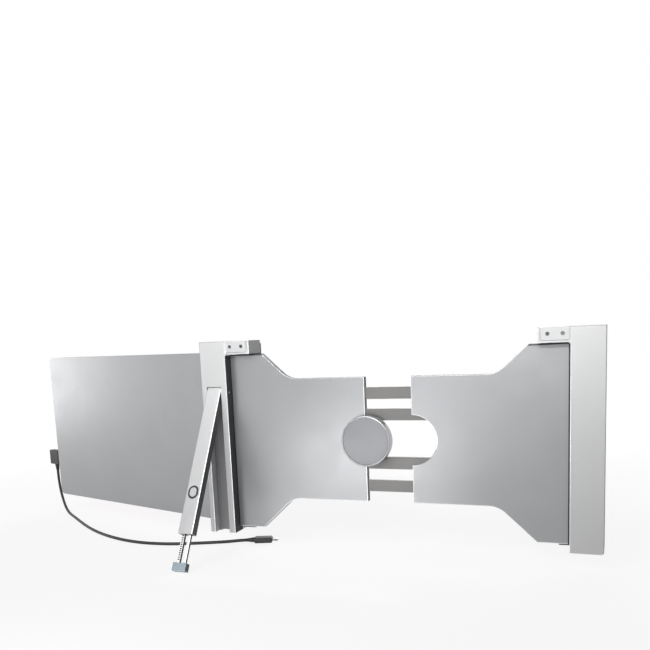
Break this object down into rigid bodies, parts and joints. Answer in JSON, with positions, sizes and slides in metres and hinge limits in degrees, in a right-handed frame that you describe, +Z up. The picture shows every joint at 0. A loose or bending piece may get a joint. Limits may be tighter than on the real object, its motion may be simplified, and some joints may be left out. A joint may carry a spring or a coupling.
{
  "type": "laptop screen extender",
  "caption": "Clip-on laptop screen extender: telescoping lid bracket driven by a rack and knob, swing-out monitor on a hinged post, folding kickstand with sliding leg, and USB-C lead.",
  "frame": {"origin": "knob axis on the plane where the laptop lid's back rests", "axes": "+X along the lid towards the monitor's post, +Y away from the lid to the rear, +Z up the posts"},
  "size_m": [0.7394, 0.2287, 0.2269],
  "materials": {
    "cover_silver": "satin anodised",
    "post_silver": "satin anodised",
    "tray_grey": "matte",
    "guide_nylon": "matte",
    "bush_bronze": "turned",
    "pad_rubber": "matte",
    "black_cover": "satin",
    "pin_steel": "ground",
    "hook_black": "satin",
    "screw_grey": "satin",
    "knob_metal": "turned and anodised",
    "knob_face": "fine spun",
    "washer_white": "matte",
    "rail_steel": "brushed",
    "gear_metal": "machined",
    "column_grey": "satin",
    "frame_dark": "satin anodised",
    "bezel_light": "satin",
    "display": "satin display",
    "panel_tray": "bright",
    "board_green": "solder mask",
    "socket_metal": "stamped",
    "ribbon": "film",
    "button_light": "satin",
    "light_pipe": "clear",
    "arm_silver": "satin anodised",
    "leg_metal": "satin",
    "foot_blue": "satin",
    "sole_rubber": "matte",
    "plug_black": "moulded",
    "cable_black": "satin sheath"
  },
  "bodies": {
    "bracket": {"plate_a_cover": "cover_silver", "plate_a_tray": "tray_grey", "rail_guides": "guide_nylon", "hub_bushes": "bush_bronze", "plate_a_pads": "pad_rubber", "post_a_housing": "post_silver", "post_a_front_cover": "black_cover", "hinge_block_top": "post_silver", "hinge_block_bottom": "post_silver", "hinge_pins": "pin_steel", "hinge_washers": "washer_white", "hook_a": "hook_black", "hook_a_pad": "pad_rubber", "hook_a_cover_plate": "post_silver", "post_a_screws": "screw_grey", "kickstand_pin": "pin_steel", "kickstand_washers": "washer_white"},
    "knob": {"knob_body": "knob_metal", "knob_face": "knob_face", "knob_washer": "washer_white", "knob_shaft": "pin_steel", "pinion": "gear_metal"},
    "slide_bracket": {"plate_b_cover": "cover_silver", "plate_b_tray": "tray_grey", "guide_rails": "rail_steel", "rack_rail": "rail_steel", "rail_rivets": "pin_steel", "plate_b_pads": "pad_rubber", "post_b_housing": "post_silver", "post_b_front_cover": "post_silver", "hook_b": "hook_black", "hook_b_pad": "pad_rubber", "hook_b_cover_plate": "post_silver", "post_b_screws": "screw_grey"},
    "monitor": {"hinge_column": "column_grey", "hinge_leaf": "black_cover", "hinge_leaf_screws": "screw_grey", "back_cover": "cover_silver", "side_frame": "frame_dark", "front_bezel": "bezel_light", "display_panel": "display", "panel_tray": "panel_tray", "controller_board": "board_green", "side_sockets": "socket_metal", "panel_ribbon": "ribbon", "light_pipe": "light_pipe", "angle_plug": "plug_black", "straight_plug": "plug_black", "usb_cable": "cable_black"},
    "power_key": {"power_button": "button_light"},
    "kickstand": {"kickstand_arm": "arm_silver", "kickstand_inner_cover": "black_cover", "leg_guide": "black_cover", "button_rim": "black_cover"},
    "leg": {"leg_rods": "leg_metal", "leg_bridge": "leg_metal", "foot": "foot_blue", "foot_sole": "sole_rubber"},
    "leg_release": {"leg_button": "button_light", "button_latch": "black_cover"}
  },
  "joints": [
    {"name": "bracket_slide", "type": "slide", "parent": "bracket", "child": "slide_bracket", "axis": [1, 0, 0], "range_m": [-0.05, 0.045]},
    {"name": "knob_turn", "type": "hinge", "parent": "bracket", "child": "knob", "pos_m": [0, 0.014, 0], "axis": [0, 1, 0], "range_deg": [-145, 160]},
    {"name": "monitor_swing", "type": "hinge", "parent": "bracket", "child": "monitor", "pos_m": [0.1684, -0.0105, 0], "axis": [0, 0, 1], "range_deg": [-162.6, 17.4]},
    {"name": "power_press", "type": "slide", "parent": "monitor", "child": "power_key", "axis": [0.9542, -0.299, 0], "range_m": [-0.0008, 0], "stiffness_N_per_m": 1500},
    {"name": "kickstand_fold", "type": "hinge", "parent": "bracket", "child": "kickstand", "pos_m": [0.1693, 0.0152, 0.0517], "axis": [1, 0, 0], "range_deg": [-29, 16]},
    {"name": "leg_extend", "type": "slide", "parent": "kickstand", "child": "leg", "axis": [0, 0.4848, -0.8746], "range_m": [-0.0289, 0.013]},
    {"name": "release_press", "type": "slide", "parent": "kickstand", "child": "leg_release", "axis": [0, -0.8746, -0.4848], "range_m": [0, 0.0012], "stiffness_N_per_m": 900}
  ],
  "couplings": [
    {"joint": "knob_turn", "follows": "bracket_slide", "rad_per_m": -55.556}
  ]
}
